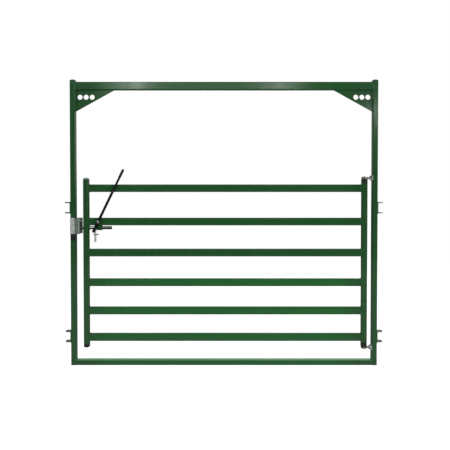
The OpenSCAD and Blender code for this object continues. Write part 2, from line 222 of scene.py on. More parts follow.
def shell(rings, loop=False):
    """A closed shape from rings of points, rings[i, j] being point j of ring i. Its signed
    volume, the sum of the tetrahedra from the middle to each face, says which way the
    faces look, and turns them outwards."""
    count, around = rings.shape[:2]
    points = rings.reshape(-1, 3)
    faces = ring_faces(count, around, loop)
    quads = np.array([f for f in faces if len(f) == 4])
    corner = (points - points.mean(0))[quads]
    volume = (np.einsum("ij,ij->i", corner[:, 0], np.cross(corner[:, 1], corner[:, 2])).sum()
              + np.einsum("ij,ij->i", corner[:, 0], np.cross(corner[:, 2], corner[:, 3])).sum())
    if volume < 0:
        faces = [f[::-1] for f in faces]
    return points, faces


def piece(name, shells, material, body):
    """One object from several closed shapes, riding on a body, with edges that turn by less
    than 40 degrees shaded smooth."""
    points, faces, start = [], [], 0
    for part_points, part_faces in shells:
        points.append(part_points)
        faces += [[start + corner for corner in f] for f in part_faces]
        start += len(part_points)
    mesh = bpy.data.meshes.new(name)
    mesh.from_pydata(np.concatenate(points).tolist(), [], faces)
    mesh.update()
    mesh.shade_smooth()
    mesh.set_sharp_from_angle(angle=np.radians(40))
    mesh.materials.append(material)
    made = bpy.data.objects.new(name, mesh)
    bpy.context.scene.collection.objects.link(made)
    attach(made, body)
    return made


def weld(root, toe_a, toe_b, crown, loop=False):
    """Weld bead along a joint. root is the hidden corner, toe_a and toe_b the bead's edges
    and crown its bulge, each a run of points. Across the bead v goes 0 to 1 and a point is
    toe_a + (toe_b - toe_a) v + crown sin(pi v) (0.8 + ripple), where ripple is 0.3 times the
    rectified sine of arc length over the weld pool's step, its front bowed by (2v - 1)^2.
    An open bead grows from its ends over 3 mm."""
    spacing, pool, taper, across = 0.0014, 0.0045, 0.003, 6
    along, root, toe_a, toe_b, crown = resample(spacing, root, toe_a, toe_b, crown)
    v = np.linspace(0, 1, across)
    s = along[:, None] / pool + 0.35 * (2 * v[None] - 1) ** 2
    ripple = 0.3 * np.abs(np.sin(np.pi * s))
    from_end = np.minimum(along, along[-1] - along)
    grow = np.ones(len(along)) if loop else np.clip(from_end / taper, 0.15, 1)
    lift = (np.sin(np.pi * v)[None] * (0.8 + ripple) * grow[:, None])[..., None]
    top = toe_a[:, None] + (toe_b - toe_a)[:, None] * v[None, :, None] + crown[:, None] * lift
    rings = np.concatenate([top, root[:, None]], axis=1)
    return shell(rings[:-1] if loop else rings, loop)


def line(start, end):
    """The two ends of a straight run of points, which a bead respaces."""
    return np.array([start, end], float)


def tube_outline(width, height, radius):
    """Points round a rectangle with round corners, from its right side anticlockwise, and
    the outward normal at each."""
    points, normals = [], []
    for k, (sx, sz) in enumerate([(1, 1), (-1, 1), (-1, -1), (1, -1)]):
        a = np.radians(90 * k) + np.linspace(0, np.pi / 2, 8)
        n = np.stack([np.cos(a), np.sin(a)], -1)
        middle = np.array([sx * (width / 2 - radius), sz * (height / 2 - radius)])
        points.append(middle + radius * n)
        normals.append(n)
    return np.concatenate(points), np.concatenate(normals)


def butt_weld(x, side, z, width, height, radius, fillet, butt, open_below=False):
    """Bead round the end of a level tube that meets an upright face at x; side is +1 where
    the tube runs on to +X. Above and below it is a fillet on the upright's face; on the
    front and back it fills the groove beside the upright's round corner."""
    p, n = tube_outline(width, height, radius)
    if open_below:
        keep = np.roll(np.arange(len(p)), -3 * len(p) // 4)
        keep = keep[n[keep, 1] > -0.5]
        p, n = p[keep], n[keep]
    else:
        p, n = np.concatenate([p, p[:1]]), np.concatenate([n, n[:1]])
    y, dz, ny, nz = p[:, 0], p[:, 1] + z, n[:, 0], n[:, 1]
    skin, deep, bulge = 0.0003, 0.003, 0.0012  # the toes dip under the skin, the root deeper
    upright = np.stack([x - side * butt * ny**2, y - skin * ny, dz + fillet * nz], -1)
    reach = fillet * nz**2 + butt * ny**2
    along_tube = np.stack([x + side * reach, y - skin * ny, dz - skin * nz], -1)
    root = np.stack([np.full(len(p), x), y - deep * ny, dz - deep * nz], -1)
    crown = bulge * np.stack([side * 0.7 * nz**2, ny, nz], -1)
    return weld(root, upright, along_tube, crown, loop=not open_below)


POST, CORNER = 0.0508, 0.005  # the square tube's side and the radius of its corners
LEG, GAP = 0.005, 0.006  # a gusset bead's leg, and how far beads stop short of a corner
SHORT_TOP, SHORT_DOWN = 0.02, 0.012  # how far they stop short of the gusset's tips
inner = -post_high.x  # the posts' inner faces are at +-inner
header_low, header_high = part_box("header")
header_z, header_h = (header_low.z + header_high.z) / 2, header_high.z - header_low.z
frame_welds = []
for side in (-1, 1):
    for z, tube_h, on_ground in ((header_z, header_h, False), (POST / 2, POST, True)):
        frame_welds.append(butt_weld(side * inner, -side, z, POST, tube_h, CORNER,
                                     fillet=0.006, butt=0.005, open_below=on_ground))
    gusset_low, gusset_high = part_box("right_gusset" if side > 0 else "left_gusset")
    run, drop = gusset_high.x - gusset_low.x, gusset_high.z - gusset_low.z
    for way in (-1, 1):
        y = way * gusset_high.y
        ends = side * (inner - GAP), side * (inner - run + SHORT_TOP)
        top = [line((ends[0], y, header_low.z), (ends[1], y, header_low.z)) + offset
               for offset in ([0, -way * 0.001, 0.001], [0, way * LEG, 0.0002], [0, 0, -LEG])]
        ends = header_low.z - GAP, header_low.z - drop + SHORT_DOWN
        down = [line((side * inner, y, ends[0]), (side * inner, y, ends[1])) + offset
                for offset in ([side * 0.001, -way * 0.001, 0], [side * 0.0002, way * LEG, 0],
                               [-side * LEG, 0, 0])]
        frame_welds.append(weld(*top, np.tile([0, way * 0.0009, -0.0009], (2, 1))))
        frame_welds.append(weld(*down, np.tile([-side * 0.0009, way * 0.0009, 0], (2, 1))))
piece("frame_welds", frame_welds, powder_green, "frame")

# ---- Post caps and stile caps -------------------------------------------------------
# Domed covers that keep the rain out of the tubes. The posts' are moulded in black
# polyethylene and pushed in. The latch stile's are pressed steel, the upper one stoved in
# green enamel and the lower one coated with the tubes.

# The plastic has a soft sheen over its fine grain, and has chalked grey in patches.
cap_black, tree = start_finish("moulded_polyethylene_black")
place = add(tree, "ShaderNodeTexCoord").outputs["Object"]
blotches = add(tree, "ShaderNodeTexNoise", {"Vector": place, "Scale": 1 / 0.015, "Detail": 6.0})
tone = add(tree, "ShaderNodeValToRGB", {"Fac": blotches.outputs["Fac"]})
for stop, place_on, colour in zip(tone.color_ramp.elements, (0.35, 0.8), ("#161a17", "#39403b")):
    stop.position, stop.color = place_on, linear(colour)
grain = add(tree, "ShaderNodeTexNoise", {"Vector": place, "Scale": 1 / 0.0006, "Detail": 2.0})
skin = add(tree, "ShaderNodeBump",
           {"Height": grain.outputs["Fac"], "Strength": 0.2, "Distance": 0.0001})
face = add(tree, "ShaderNodeBsdfPrincipled",
           {"Base Color": tone.outputs[0], "Roughness": 0.32, "Normal": skin.outputs[0]})
add(tree, "ShaderNodeOutputMaterial", {"Surface": face.outputs[0]})
coat(cap_black, "left_post_cap", "right_post_cap")

# The enamel's colour is a pale grey green, a painted reflection of a bright sky, and it keeps a gloss.
cap_green, tree = start_finish("stoved_enamel_green_painted_reflection")
place = add(tree, "ShaderNodeTexCoord").outputs["Object"]
blotches = add(tree, "ShaderNodeTexNoise", {"Vector": place, "Scale": 1 / 0.012, "Detail": 6.0})
tone = add(tree, "ShaderNodeValToRGB", {"Fac": blotches.outputs["Fac"]})
for stop, place_on, colour in zip(tone.color_ramp.elements, (0.3, 0.7), ("#3f5446", "#5d7565")):
    stop.position, stop.color = place_on, linear(colour)
peel = add(tree, "ShaderNodeTexNoise", {"Vector": place, "Scale": PEEL, "Detail": 1.0})
skin = add(tree, "ShaderNodeBump",
           {"Height": peel.outputs["Fac"], "Strength": 0.2, "Distance": 0.0003})
face = add(tree, "ShaderNodeBsdfPrincipled",
           {"Base Color": tone.outputs[0], "Roughness": 0.25, "Normal": skin.outputs[0]})
add(tree, "ShaderNodeOutputMaterial", {"Surface": face.outputs[0]})
coat(cap_green, "stile_cap_top")
coat(powder_green, "stile_cap_bottom")

# ---- Connector brackets -------------------------------------------------------------
# Pairs of bored ears on a strap, welded to the posts' outer faces for the drop pins that
# join the next panel. The strap is painted with the frame; the ears' zinc is left bare
# so that pins slide, and hot dipping gives it a crystal spangle.

SPANGLE = 1 / 0.011  # zinc crystals about 11 mm across
PAINTED, PAINT_EDGE = 0.0075, 0.002  # how far out from the post the paint reaches, and its edge

ear_zinc, tree = start_finish("hot_dip_galvanised_steel_ears")
place = add(tree, "ShaderNodeTexCoord").outputs["Object"]
crystal = add(tree, "ShaderNodeTexVoronoi", {"Vector": place, "Scale": SPANGLE})
zinc = add(tree, "ShaderNodeMix",
           {"Factor": crystal.outputs["Color"], 6: linear("#6f7375"), 7: linear("#a3a7a8")},
           data_type="RGBA")
xyz = add(tree, "ShaderNodeSeparateXYZ", {"Vector": place})
outward = add(tree, "ShaderNodeMath", {0: xyz.outputs["X"]}, operation="ABSOLUTE")
painted_to = inner + POST + PAINTED
bare = add(tree, "ShaderNodeMapRange", {"Value": outward.outputs[0], "From Min": painted_to,
                                        "From Max": painted_to + PAINT_EDGE})
mottle = add(tree, "ShaderNodeMapRange",
             {"Value": crystal.outputs["Color"], "To Min": 0.38, "To Max": 0.6})
metal = add(tree, "ShaderNodeBsdfPrincipled",
            {"Base Color": zinc.outputs[2], "Metallic": 1.0, "Roughness": mottle.outputs[0]})
paint = add(tree, "ShaderNodeBsdfPrincipled",
            {"Base Color": GREEN, "Roughness": 0.26, "Specular IOR Level": 0.28})
both = add(tree, "ShaderNodeMixShader",
           {0: bare.outputs[0], 1: paint.outputs[0], 2: metal.outputs[0]})
add(tree, "ShaderNodeOutputMaterial", {"Surface": both.outputs[0]})
connectors = [f"connector_{level}_{hand}" for level in ("upper", "lower") for hand in ("left", "right")]
coat(ear_zinc, *connectors)

STRAP_HALF, BEAD_HALF = 0.025, 0.02  # half the strap's width and half a bead across its end
connector_welds = []
for name in connectors:
    low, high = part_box(name)
    side = 1 if high.x > 0 else -1
    post_face = side * (inner + POST)
    for way in (-1, 1):
        y = way * STRAP_HALF
        beside = [line((post_face, y, low.z + 0.002), (post_face, y, high.z - 0.002)) + offset
                  for offset in ([side * 0.001, -way * 0.003, 0], [-side * 0.004, 0, 0],
                                 [side * 0.004, way * 0.0001, 0])]
        connector_welds.append(weld(*beside, np.tile([0, way * 0.0012, 0], (2, 1))))
    for z, way in ((low.z, -1), (high.z, 1)):
        above = [line((post_face, -BEAD_HALF, z), (post_face, BEAD_HALF, z)) + offset
                 for offset in ([-side * 0.001, 0, -way * 0.001], [0, 0, way * 0.006],
                                [side * 0.006, 0, 0])]
        connector_welds.append(weld(*above, np.tile([side * 0.001, 0, way * 0.001], (2, 1))))
piece("connector_welds", connector_welds, powder_green, "frame")

# ---- Keeper -------------------------------------------------------------------------
# Two heavy plates on the latch post that take the slide bolt between them, flared to guide
# its tip in. Hot-dip galvanised: broad crystals in a dulled silver film. Past the bend it is
# darkened with painted shade, but for a painted highlight line before the plates' ends.

SEAT, FLARE, PLATE_T = 0.043, np.radians(12), 0.005  # flat length, bend and thickness

keeper_zinc, tree = start_finish("hot_dip_galvanised_steel_plate")
place = add(tree, "ShaderNodeTexCoord").outputs["Object"]
crystal = add(tree, "ShaderNodeTexVoronoi", {"Vector": place, "Scale": SPANGLE})
streak_place = add(tree, "ShaderNodeMapping",
                   {"Vector": place, "Scale": (1 / 0.008, 1 / 0.008, 1 / 0.09)})
streak = add(tree, "ShaderNodeTexNoise",
             {"Vector": streak_place.outputs[0], "Scale": 1.0, "Detail": 5.0})
amount = add(tree, "ShaderNodeMix",
             {"Factor": 0.5, 2: crystal.outputs["Color"], 3: streak.outputs["Fac"]})
zinc = add(tree, "ShaderNodeMix",
           {"Factor": amount.outputs[0], 6: linear("#96a099"), 7: linear("#dbe2dc")},
           data_type="RGBA")
keeper_low, keeper_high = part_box("keeper_back")
bend_x = keeper_low.x + SEAT
xyz = add(tree, "ShaderNodeSeparateXYZ", {"Vector": place})
outer_part = add(tree, "ShaderNodeMapRange", {"Value": xyz.outputs["X"], "From Min": bend_x,
                                              "From Max": keeper_high.x + 0.01})
# Painted shade past the bend: a darker band, a painted highlight line, then darker painted shade towards
# the plates' ends.
painted_bend_shade = add(tree, "ShaderNodeValToRGB", {"Fac": outer_part.outputs[0]})
ramp = painted_bend_shade.color_ramp
ramp.elements[0].position, ramp.elements[0].color = 0.0, linear("#ffffff")
ramp.elements[1].position, ramp.elements[1].color = 1.0, linear("#e2e4e3")
for position, painted_tone in ((0.03, "#9aa4a1"), (0.57, "#9aa4a1"), (0.62, "#d8e0dc"), (0.73, "#d8e0dc"),
                       (0.78, "#737b76"), (0.97, "#737b76")):
    ramp.elements.new(position).color = linear(painted_tone)
shaded_zinc = add(tree, "ShaderNodeMix", {"Factor": 1.0, 6: zinc.outputs[2], 7: painted_bend_shade.outputs[0]},
              data_type="RGBA", blend_type="MULTIPLY")
mottle = add(tree, "ShaderNodeMapRange",
             {"Value": crystal.outputs["Color"], "To Min": 0.34, "To Max": 0.55})
ripple = add(tree, "ShaderNodeBump",
             {"Height": streak.outputs["Fac"], "Strength": 0.2, "Distance": 0.001})
face = add(tree, "ShaderNodeBsdfPrincipled",
           {"Base Color": shaded_zinc.outputs[2], "Metallic": 0.65, "Roughness": mottle.outputs[0],
            "Normal": ripple.outputs[0]})
add(tree, "ShaderNodeOutputMaterial", {"Surface": face.outputs[0]})
coat(keeper_zinc, "keeper_front", "keeper_back", "keeper_ties")


def turned(profile, centre, axis, around=48):
    """Solid of revolution: profile is (distance along the axis, radius) from end to end,
    and each point goes round as centre + axis d + r (u cos a + w sin a)."""
    axis = np.array(axis, float) / np.linalg.norm(axis)
    u = np.cross(axis, (0, 0, 1) if abs(axis[2]) < 0.9 else (1, 0, 0))
    u = u / np.linalg.norm(u)
    w = np.cross(axis, u)
    a = np.linspace(0, 2 * np.pi, around, endpoint=False)[None, :, None]
    d, r = np.array(profile, float).T[:, :, None, None]
    return shell(np.array(centre, float) + axis * d + r * (u * np.cos(a) + w * np.sin(a)))


def domed(radius, height):
    """Profile of a low dome on a sunk foot: r = radius cos t, d = height sin t, with t
    ending just short of the top, which the last ring's flat face closes."""
    t = np.linspace(0, np.pi / 2 * 0.97, 6)
    return [(-0.002, radius)] + list(zip(height * np.sin(t), radius * np.cos(t)))


PLUG_R, PLUG_H = 0.008, 0.0016
tie_low, tie_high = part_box("keeper_ties")
tie_x, tie_r = (tie_low.x + tie_high.x) / 2, (tie_high.x - tie_low.x) / 2
outside = POST / 2 + (tie_x - bend_x) * np.tan(FLARE) + PLATE_T / np.cos(FLARE)
keeper_welds = []
for way in (-1, 1):
    for z in (tie_low.z + tie_r, tie_high.z - tie_r):
        keeper_welds.append(turned(domed(PLUG_R, PLUG_H), (tie_x, way * outside, z),
                                   (-np.sin(FLARE), way * np.cos(FLARE), 0)))
piece("keeper_plug_welds", keeper_welds, keeper_zinc, "frame")

seams = []
for way in (-1, 1):
    y = way * POST / 2
    for z, up in ((keeper_low.z, -1), (keeper_high.z, 1)):
        level = [line((keeper_low.x + GAP, y, z), (bend_x - 0.003, y, z)) + offset
                 for offset in ([0, -way * 0.001, -up * 0.001], [0, 0, up * 0.005],
                                [0, way * 0.0045, 0])]
        seams.append(weld(*level, np.tile([0, way * 0.0009, up * 0.0009], (2, 1))))
    ends = keeper_low.z + GAP, keeper_high.z - GAP
    upright = [line((keeper_low.x, y, ends[0]), (keeper_low.x, y, ends[1])) + offset
               for offset in ([0.002, -way * 0.003, 0], [0.0002, -way * 0.0065, 0],
                              [0.0004, way * 0.0035, 0])]
    seams.append(weld(*upright, np.tile([-0.0012, 0, 0], (2, 1))))
piece("keeper_seams", seams, powder_green, "frame")

# ---- Hinges on the post -------------------------------------------------------------
# Forged eye bolts through round galvanised flanges on the hinge post, each held by a washer
# and a nut, with its thread running on to the eye. Years of turning on the pins have left
# the eyes' plating brown, pitted and dull; the nuts' is still bright.

coat(keeper_zinc, "top_hinge_flange", "bottom_hinge_flange")

eye_brown, tree = start_finish("forged_steel_weathered")
place = add(tree, "ShaderNodeTexCoord").outputs["Object"]
patch = add(tree, "ShaderNodeTexNoise",
            {"Vector": place, "Scale": 1 / 0.012, "Detail": 8.0, "Roughness": 0.65})
tone = add(tree, "ShaderNodeValToRGB", {"Fac": patch.outputs["Fac"]})
for stop, place_on, colour in zip(tone.color_ramp.elements, (0.35, 0.65), ("#4c4239", "#8d877e")):
    stop.position, stop.color = place_on, linear(colour)
pitted = add(tree, "ShaderNodeBump",
             {"Height": patch.outputs["Fac"], "Strength": 0.35, "Distance": 0.0006})
rough = add(tree, "ShaderNodeMapRange", {"Value": patch.outputs["Fac"], "To Min": 0.7, "To Max": 0.4})
face = add(tree, "ShaderNodeBsdfPrincipled",
           {"Base Color": tone.outputs[0], "Metallic": 0.7, "Roughness": rough.outputs[0],
            "Normal": pitted.outputs[0]})
add(tree, "ShaderNodeOutputMaterial", {"Surface": face.outputs[0]})
coat(eye_brown, "top_hinge_eye", "bottom_hinge_eye")

# Zinc plate is a cool bright silver with a light blush.
bolt_zinc, tree = start_finish("zinc_plated_steel")
place = add(tree, "ShaderNodeTexCoord").outputs["Object"]
blush = add(tree, "ShaderNodeTexNoise", {"Vector": place, "Scale": 1 / 0.006, "Detail": 4.0})
tone = add(tree, "ShaderNodeMix",
           {"Factor": blush.outputs["Fac"], 6: linear("#a9adac"), 7: linear("#d2d4d0")},
           data_type="RGBA")
cloudy = add(tree, "ShaderNodeMapRange",
             {"Value": blush.outputs["Fac"], "To Min": 0.22, "To Max": 0.42})
face = add(tree, "ShaderNodeBsdfPrincipled",
           {"Base Color": tone.outputs[2], "Metallic": 1.0, "Roughness": cloudy.outputs[0]})
add(tree, "ShaderNodeOutputMaterial", {"Surface": face.outputs[0]})


SOLID = 0.0002  # a turned or six-sided shape without a bore is closed at this radius


def hexagon(flats, thickness, bore, centre, axis):
    """Nut or bolt head on a level axis. The outline is r = flats / 2 / cos(a) within 30 degrees of each
    flat's middle, cut by a 30 degree cone that starts just inside the flats' radius on both
    faces."""
    axis = np.array(axis, float)
    u = np.array([0.0, 0, 1])
    w = np.cross(axis, u)
    a = np.radians(np.arange(0, 360, 5))
    six = flats / 2 / np.cos((a + np.pi / 6) % (np.pi / 3) - np.pi / 6)
    rim = np.full_like(a, flats / 2 * 0.97)
    cone = (six - rim) * np.tan(np.radians(30))
    inside = np.full_like(a, max(bore / 2, SOLID))
    near, far = 0 * a, 0 * a + thickness
    rings = [(near, inside), (near, rim), (cone, six), (thickness - cone, six), (far, rim), (far, inside)]
    d, r = np.array(rings).transpose(1, 0, 2)[..., None]
    return shell(np.array(centre, float) + axis * d
                 + r * (u * np.cos(a)[None, :, None] + w * np.sin(a)[None, :, None]))


def thread(radius, pitch, depth, centre, axis, length):
    """Rolled thread on a level axis: r = radius + depth |((d / pitch - a / 2 pi) mod 1) x 2 - 1|,
    drawn in to the plain radius at both ends."""
    axis = np.array(axis, float)
    u = np.cross(axis, (0, 0, 1))
    w = np.cross(axis, u)
    a = np.linspace(0, 2 * np.pi, 24, endpoint=False)[None]
    d = np.linspace(0, length, int(length / pitch * 6) + 1)[:, None]
    r = radius + depth * np.abs((d / pitch - a / (2 * np.pi)) % 1 * 2 - 1) + 0 * a
    r[[0, -1]] = radius
    return shell(np.array(centre, float) + axis * (d[..., None] + 0 * a[..., None])
                 + r[..., None] * (u * np.cos(a)[..., None] + w * np.sin(a)[..., None]))


EYE_R, SHANK_R, PITCH, THREAD_DEPTH = 0.028, 0.0095, 0.0025, 0.0008
NUT_FLATS, NUT_T, WASHER_R, WASHER_T, BEVEL = 0.036, 0.016, 0.027, 0.004, 0.0006
WASHER = [(0, SHANK_R), (0, WASHER_R - BEVEL), (BEVEL, WASHER_R), (WASHER_T - BEVEL, WASHER_R),
          (WASHER_T, WASHER_R - BEVEL), (WASHER_T, SHANK_R)]
hinge_nuts, hinge_threads = [], []
for end in ("top", "bottom"):
    flange_low, flange_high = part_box(f"{end}_hinge_flange")
    z = (flange_low.z + flange_high.z) / 2
    nut_x = flange_low.x - WASHER_T
    hinge_nuts.append(turned(WASHER, (flange_low.x, 0, z), (-1, 0, 0)))
    hinge_nuts.append(hexagon(NUT_FLATS, NUT_T, 2 * SHANK_R, (nut_x, 0, z), (-1, 0, 0)))
    thread_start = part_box(f"{end}_hinge_eye")[0].x + 2 * EYE_R + 0.004
    hinge_threads.append(thread(SHANK_R, PITCH, THREAD_DEPTH, (thread_start, 0, z), (1, 0, 0),
                                nut_x - NUT_T - thread_start + 0.002))
piece("hinge_nuts", hinge_nuts, bolt_zinc, "frame")
piece("hinge_threads", hinge_threads, bolt_zinc, "frame")

# ---- Gate leaf ----------------------------------------------------------------------
# Six oval rails between two square stiles, welded all round and coated with the frame.
# End plates close the hinge stile and carry the pins, which are headed over the eyes.

rails = [f"rail_{k}" for k in range(1, 7)]
coat(powder_green, "latch_stile", "hinge_stile", *rails, "hinge_pivot_top", "hinge_pivot_bottom")

RAIL_D, RAIL_H, RAIL_CORNER = 0.044, 0.076, 0.014
leaf_welds = []
for name in rails:
    low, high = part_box(name)
    for x, side in ((low.x, 1), (high.x, -1)):
        leaf_welds.append(butt_weld(x, side, (low.z + high.z) / 2, RAIL_D, RAIL_H, RAIL_CORNER,
                                    fillet=0.007, butt=0.004))
piece("leaf_welds", leaf_welds, powder_green, "leaf")

# A pin's head as (height over the eye, radius), from the pin out round the head and back to
# its middle.
PIN_HEAD = [(0.0005, 0.006), (0.0005, 0.0125), (0.0012, 0.0132), (0.0035, 0.0132), (0.0045, 0.012),
            (0.0045, 0.001)]
pin_heads = []
for end, up in (("top", 1), ("bottom", -1)):
    eye_low, eye_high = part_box(f"{end}_hinge_eye")
    outer = eye_high.z if up > 0 else eye_low.z
    pin_heads.append(turned(PIN_HEAD, (stile_x, 0, outer), (0, 0, up)))
piece("hinge_pin_heads", pin_heads, eye_brown, "leaf")

# ---- Slide bolt and its guides ------------------------------------------------------
# A length of galvanised pipe that slides through the latch stile, a collar and a block
# welded under the second rail. Its tail has weathered dark and its tip is rubbed bright by
# the guides; its underside is darkened with painted shade.

bolt_low, bolt_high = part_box("slide_bolt")
bolt_z, pipe_r = (bolt_low.z + bolt_high.z) / 2, (bolt_high.z - bolt_low.z) / 2
block_low, block_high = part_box("guide_block")
bolt_pipe, tree = start_finish("galvanised_pipe_weathered")
place = add(tree, "ShaderNodeTexCoord").outputs["Object"]
lines_place = add(tree, "ShaderNodeMapping",
                  {"Vector": place, "Scale": (1 / 0.12, 1 / 0.0022, 1 / 0.0022)})
lines = add(tree, "ShaderNodeTexNoise",
            {"Vector": lines_place.outputs[0], "Scale": 1.0, "Detail": 6.0})
crystal = add(tree, "ShaderNodeTexVoronoi", {"Vector": place, "Scale": 1 / 0.007})
amount = add(tree, "ShaderNodeMix",
             {"Factor": 0.4, 2: lines.outputs["Fac"], 3: crystal.outputs["Color"]})
bright = add(tree, "ShaderNodeMix",
             {"Factor": amount.outputs[0], 6: linear("#98a59b"), 7: linear("#d0d8d1")},
             data_type="RGBA")
dark = add(tree, "ShaderNodeMix",
           {"Factor": amount.outputs[0], 6: linear("#565f58"), 7: linear("#8a958c")},
           data_type="RGBA")
xyz = add(tree, "ShaderNodeSeparateXYZ", {"Vector": place})
tail = add(tree, "ShaderNodeMapRange", {"Value": xyz.outputs["X"], "From Min": block_low.x - 0.025,
                                        "From Max": block_low.x - 0.015})
metal = add(tree, "ShaderNodeMix",
            {"Factor": tail.outputs[0], 6: bright.outputs[2], 7: dark.outputs[2]}, data_type="RGBA")
# Painted shade darkens the pipe's lower half, which is also made rougher.
painted_underside_shade = add(tree, "ShaderNodeMapRange", {"Value": xyz.outputs["Z"], "From Min": bolt_z + 0.005,
                                         "From Max": bolt_z - 0.004, "To Max": 0.9})
tone = add(tree, "ShaderNodeMix",
           {"Factor": painted_underside_shade.outputs[0], 6: metal.outputs[2], 7: linear("#1a211b")}, data_type="RGBA")
scored = add(tree, "ShaderNodeMapRange",
             {"Value": lines.outputs["Fac"], "To Min": 0.42, "To Max": 0.22})
worn = add(tree, "ShaderNodeMath", {0: painted_underside_shade.outputs[0], 1: 0.3, 2: scored.outputs[0]},
           operation="MULTIPLY_ADD")
score = add(tree, "ShaderNodeBump",
            {"Height": lines.outputs["Fac"], "Strength": 0.25, "Distance": 0.0003})
face = add(tree, "ShaderNodeBsdfPrincipled",
           {"Base Color": tone.outputs[2], "Metallic": 1.0, "Roughness": worn.outputs[0],
            "Normal": score.outputs[0]})
add(tree, "ShaderNodeOutputMaterial", {"Surface": face.outputs[0]})
coat(bolt_pipe, "slide_bolt")
coat(powder_green, "guide_collar", "guide_block")
coat(keeper_zinc, "bolt_pull")
coat(bolt_zinc, "drive_pin")


def foot_weld(foot, out, along, bar_r, under_r, leg, start=0, sweep=360):
    """Bead round a bar that stands on a pipe of radius under_r, or on a flat face where that
    is 0. Round the bar a runs over the sweep, and a point r from the bar's middle lies
    sqrt(under_r^2 - (r sin a)^2) above the pipe's middle line, which runs along."""
    out, along = np.array(out, float), np.array(along, float)
    a = np.radians(np.linspace(start, start + sweep, 61))[:, None]
    away = along * np.cos(a) + np.cross(out, along) * np.sin(a)
    root, toe_a, toe_b = (
        np.array(foot, float) + r * away
        + out * (np.sqrt(np.maximum(under_r**2 - (r * np.sin(a)) ** 2, 0)) + rise)
        for r, rise in ((bar_r - 0.0008, -0.0008), (bar_r + leg, 0.0), (bar_r - 0.0002, leg)))
    return weld(root, toe_a, toe_b, 0.25 * leg * (away + out), loop=sweep == 360)


pin_low, pin_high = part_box("drive_pin")
pull_low, pull_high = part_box("bolt_pull")
pin_x, pin_r = (pin_low.x + pin_high.x) / 2, (pin_high.x - pin_low.x) / 2
pull_x, pull_r = (pull_low.x + pull_high.x) / 2, pull_high.y
bolt_welds = [foot_weld((pin_x, 0, bolt_z), (0, -1, 0), (1, 0, 0), pin_r, pipe_r, leg=0.0025),
              foot_weld((pull_x, 0, bolt_z), (0, 0, -1), (1, 0, 0), pull_r, pipe_r, leg=0.004)]
piece("bolt_welds", bolt_welds, keeper_zinc, "bolt")

collar_low, collar_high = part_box("guide_collar")
guide_welds = [foot_weld((collar_low.x, 0, bolt_z), (1, 0, 0), (0, 0, -1), collar_high.y, 0,
                         leg=0.004, start=-48, sweep=96)]
for way in (-1, 1):
    under_rail = [
        line((block_low.x + 0.002, 0, block_high.z), (block_high.x - 0.002, 0, block_high.z)) + offset
        for offset in ([0, way * 0.011, 0.0004], [0, way * 0.0195, 0], [0, way * 0.0182, 0.0045])]
    guide_welds.append(weld(*under_rail, np.tile([0, way * 0.0012, 0.0008], (2, 1))))
piece("guide_welds", guide_welds, powder_green, "leaf")

# ---- Lever pivot --------------------------------------------------------------------
# A steel boss turned from bar and welded to the second rail's face, painted with the leaf.
# A zinc-plated flange bolt goes through the lever into it, and is what the lever turns on.

BOSS_R, BOSS_H, BORE_R, CHAMFER = 0.015, 0.0135, 0.0064, 0.0007
PIVOT_R, HEAD_H, FLANGE_R, FLANGE_H, PIVOT_FLATS = 0.006, 0.008, 0.0122, 0.0016, 0.019
SUNK = 0.001  # how far the shank is sunk at both ends
pivot_low, pivot_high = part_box("lever_pivot")
pivot_x, pivot_z = (pivot_low.x + pivot_high.x) / 2, (pivot_low.z + pivot_high.z) / 2
on_rail = (pivot_x, pivot_high.y, pivot_z)
pivot_boss = [
    turned([(0, BORE_R), (0, BOSS_R), (BOSS_H - CHAMFER, BOSS_R), (BOSS_H, BOSS_R - CHAMFER),
            (BOSS_H, BORE_R)], on_rail, (0, -1, 0)),
    foot_weld(on_rail, (0, -1, 0), (1, 0, 0), BOSS_R, 0, leg=0.0045)]
piece("pivot_boss", pivot_boss, powder_green, "leaf")

# The bolt's shank in the boss, the coned flange over the lever and the hexagon on that.
under_head = pivot_low.y + HEAD_H
shank_end = pivot_high.y - under_head + SUNK
pivot_bolt = [
    turned([(SUNK, SOLID), (SUNK, PIVOT_R), (shank_end, PIVOT_R), (shank_end, SOLID)],
           on_rail, (0, -1, 0)),
    turned([(0, PIVOT_R / 2), (0, FLANGE_R - 0.0003), (0.0004, FLANGE_R),
            (FLANGE_H - 0.0004, FLANGE_R), (FLANGE_H + 0.0008, PIVOT_FLATS / 2),
            (FLANGE_H + 0.0008, PIVOT_R / 2)], (pivot_x, under_head, pivot_z), (0, -1, 0)),
    hexagon(PIVOT_FLATS, HEAD_H - FLANGE_H, 0, (pivot_x, under_head - FLANGE_H, pivot_z), (0, -1, 0))]
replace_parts(piece("pivot_bolt", pivot_bolt, bolt_zinc, "leaf"), "lever_pivot")

# ---- Lever --------------------------------------------------------------------------
# A flat bored foot, a tube welded on its end and a round bar pinned in the tube, painted
# with black gloss enamel, and a ribbed sleeve of dipped vinyl over the hand end.

SLEEVE_WALL, SEAM_HALF = 0.0017, 0.0115  # the tube's wall and half the length of its seams

